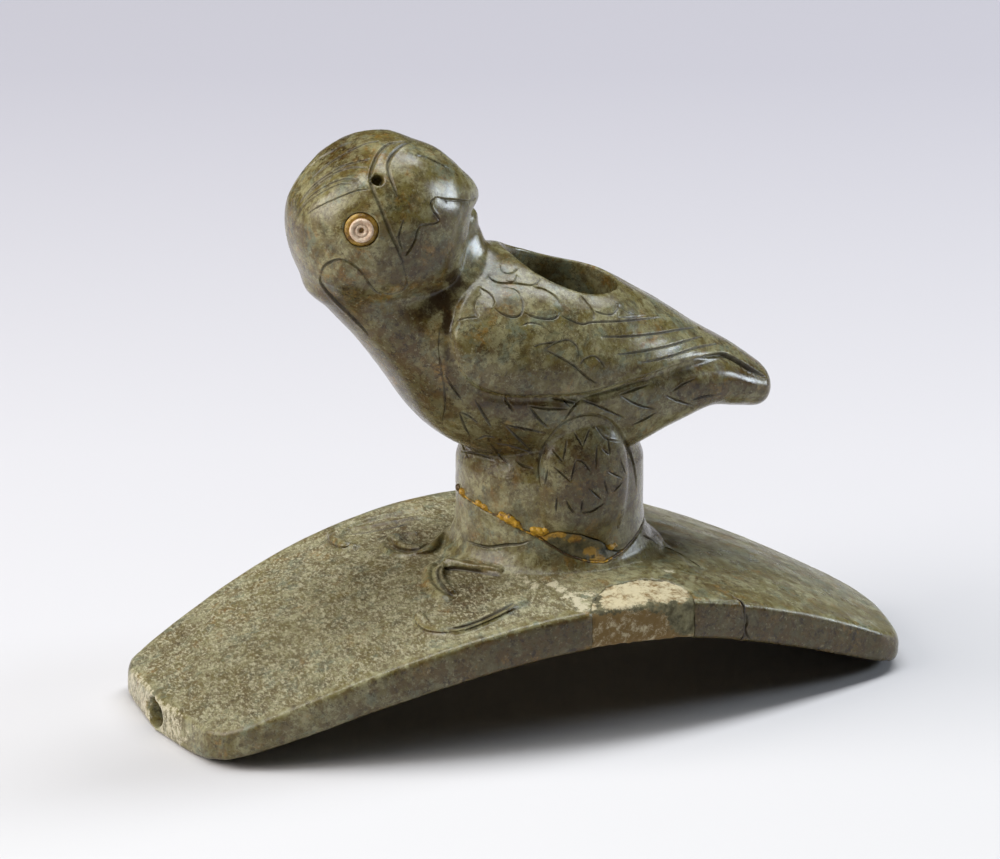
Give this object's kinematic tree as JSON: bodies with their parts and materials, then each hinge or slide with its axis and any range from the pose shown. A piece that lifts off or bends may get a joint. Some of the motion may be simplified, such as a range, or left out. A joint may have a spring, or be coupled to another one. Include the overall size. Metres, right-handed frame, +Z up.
{
  "type": "effigy pipe",
  "caption": "Carved stone smoking pipe: a bird looking back over its tail stands on a curved slab that is the stem, with the bowl in its back.",
  "frame": {"origin": "on the rest plane, midway along and across the slab", "axes": "+Z up, +X along the slab from the mouth end to the tail end, the way the bird's face looks; +Y to the bird's left as it faces its tail"},
  "size_m": [0.1, 0.0502, 0.0766],
  "materials": {
    "pipestone_platform": "fine-grained olive grey stone, worn satin",
    "pipestone_bird": "fine-grained olive grey stone with ochre mottling, polished",
    "resin": "aged ochre resin, satin",
    "plaster": "beige plaster, matte",
    "bone": "pinkish ivory bone, polished"
  },
  "bodies": {
    "root": {"platform_front": "pipestone_platform", "platform_rear": "pipestone_platform", "bird": "pipestone_bird", "platform_seam_adhesive": "resin", "pedestal_seam_adhesive": "resin", "pedestal_chip_fill": "resin", "plaster_fill": "plaster", "eye_bed_left": "resin", "eye_bed_right": "resin", "eye_ring_left": "bone", "eye_ring_right": "bone"}
  },
  "joints": []
}
